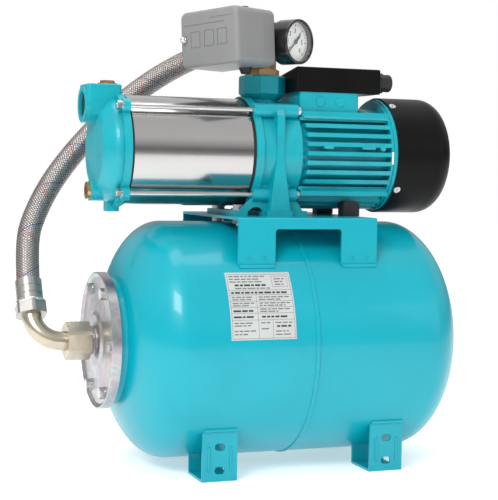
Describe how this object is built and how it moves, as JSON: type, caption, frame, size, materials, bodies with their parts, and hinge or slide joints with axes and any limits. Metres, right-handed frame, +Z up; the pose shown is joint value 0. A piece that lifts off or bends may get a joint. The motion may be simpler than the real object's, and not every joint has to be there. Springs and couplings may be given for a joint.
{
  "type": "centrifugal water pump",
  "caption": "Centrifugal water pump with finned motor on a horizontal pressure tank, with pressure switch, gauge and braided hose.",
  "frame": {"origin": "on the floor under the middle of the set's length, on the tank's vertical middle plane", "axes": "+Z up, +X from the suction end to the motor fan, +Y towards the hose side at the back"},
  "size_m": [0.5415, 0.2828, 0.5457],
  "materials": {
    "teal_paint": "gloss paint",
    "rubber_red": "matte",
    "zinc_plate": "passivated zinc",
    "zinc_steel": "bright zinc",
    "label_film": "printed film",
    "brass": "turned",
    "black_plastic": "satin",
    "stainless": "polished",
    "black_rubber": "matte",
    "stage_plastic": "moulded",
    "ceramic": "ground ceramic",
    "seal_steel": "ground",
    "lamination": "laminated",
    "copper_wire": "enamelled copper",
    "bearing_steel": "ground",
    "rotor_alloy": "cast",
    "fan_plastic": "moulded",
    "capacitor_can": "moulded",
    "gauge_black": "gloss",
    "dial_white": "white enamel",
    "needle_black": "black",
    "glass": "clear",
    "switch_metal": "grey paint",
    "switch_grey": "satin grey",
    "chrome": "polished",
    "nickel_brass": "satin nickel on brass",
    "ferrule_nickel": "nickel",
    "steel_braid": "stainless braid"
  },
  "bodies": {
    "pump_set": {"tank_left_shell": "teal_paint", "tank_right_shell": "teal_paint", "tank_seam_weld": "teal_paint", "foot_front_left": "teal_paint", "foot_front_right": "teal_paint", "foot_rear_left": "teal_paint", "foot_rear_right": "teal_paint", "weld_beads": "teal_paint", "pump_bracket": "teal_paint", "suction_cover": "teal_paint", "lantern": "teal_paint", "motor_front_shield": "teal_paint", "motor_housing": "teal_paint", "motor_rear_shield": "teal_paint", "terminal_box_base": "teal_paint", "tank_bladder": "rubber_red", "tank_flange": "zinc_plate", "flange_bolts": "zinc_steel", "tank_label": "label_film", "air_valve_body": "brass", "bracket_bolts": "zinc_steel", "barrel": "stainless", "barrel_gaskets": "black_rubber", "tie_rods": "zinc_steel", "tie_rod_nuts": "zinc_steel", "stage_diffusers": "stainless", "seal_seat": "ceramic", "stator_core": "lamination", "stator_windings": "copper_wire", "fan_cover": "black_plastic", "cover_screws": "zinc_steel", "bearing_outer_rings": "bearing_steel", "terminal_box_lid": "black_plastic", "run_capacitor": "capacitor_can", "cable_glands": "black_rubber", "motor_rubber_foot": "black_rubber", "five_way_fitting": "brass", "gauge_case": "gauge_black", "gauge_dial": "dial_white", "gauge_glass": "glass", "switch_base": "switch_metal", "switch_cover": "switch_grey", "switch_cap_nut": "chrome", "tank_elbow": "nickel_brass", "elbow_nut": "nickel_brass", "hose_end_fittings": "ferrule_nickel", "hose": "steel_braid"},
    "rotor": {"rotor_shaft": "seal_steel", "rotor_core": "rotor_alloy", "impellers": "stage_plastic", "seal_rotor": "seal_steel", "cooling_fan": "fan_plastic", "bearing_inner_rings": "bearing_steel"},
    "ball_sets": {"bearing_balls": "bearing_steel"},
    "needle": {"gauge_needle": "needle_black"},
    "fill_plug": {"filling_plug": "brass"},
    "drain_plug": {"drain_plug": "brass"},
    "switch_lever": {"switch_lever": "switch_metal"},
    "valve_cap": {"air_valve_cap": "black_plastic"},
    "valve_pin": {"air_valve_pin": "brass"}
  },
  "joints": [
    {"name": "rotor_spin", "type": "hinge", "parent": "pump_set", "child": "rotor", "pos_m": [0.09938, 0, 0.3745], "axis": [1, 0, 0], "continuous": true},
    {"name": "ball_spin", "type": "hinge", "parent": "pump_set", "child": "ball_sets", "pos_m": [0.09938, 0, 0.3745], "axis": [1, 0, 0], "continuous": true},
    {"name": "needle_turn", "type": "hinge", "parent": "pump_set", "child": "needle", "pos_m": [0.04302, -0.04408, 0.5055], "axis": [-0.4939, 0.8695, 0], "range_deg": [0, 270], "stiffness_Nm_per_rad": 0.0002},
    {"name": "fill_plug_lift", "type": "slide", "parent": "pump_set", "child": "fill_plug", "axis": [0, 0, 1], "range_m": [0, 0.014]},
    {"name": "drain_plug_pull", "type": "slide", "parent": "pump_set", "child": "drain_plug", "axis": [-1, 0, 0], "range_m": [0, 0.018]},
    {"name": "switch_lever_tilt", "type": "hinge", "parent": "pump_set", "child": "switch_lever", "pos_m": [-0.03858, -0.00572, 0.5041], "axis": [0.0302, -0.0531, -0.9981], "range_deg": [0, 3], "stiffness_Nm_per_rad": 0.5},
    {"name": "valve_cap_pull", "type": "slide", "parent": "pump_set", "child": "valve_cap", "axis": [1, 0, 0], "range_m": [0, 0.015]},
    {"name": "valve_pin_press", "type": "slide", "parent": "pump_set", "child": "valve_pin", "axis": [-1, 0, 0], "range_m": [0, 0.001], "stiffness_N_per_m": 500}
  ],
  "couplings": [
    {"joint": "ball_spin", "follows": "rotor_spin", "ratio": 0.38}
  ]
}
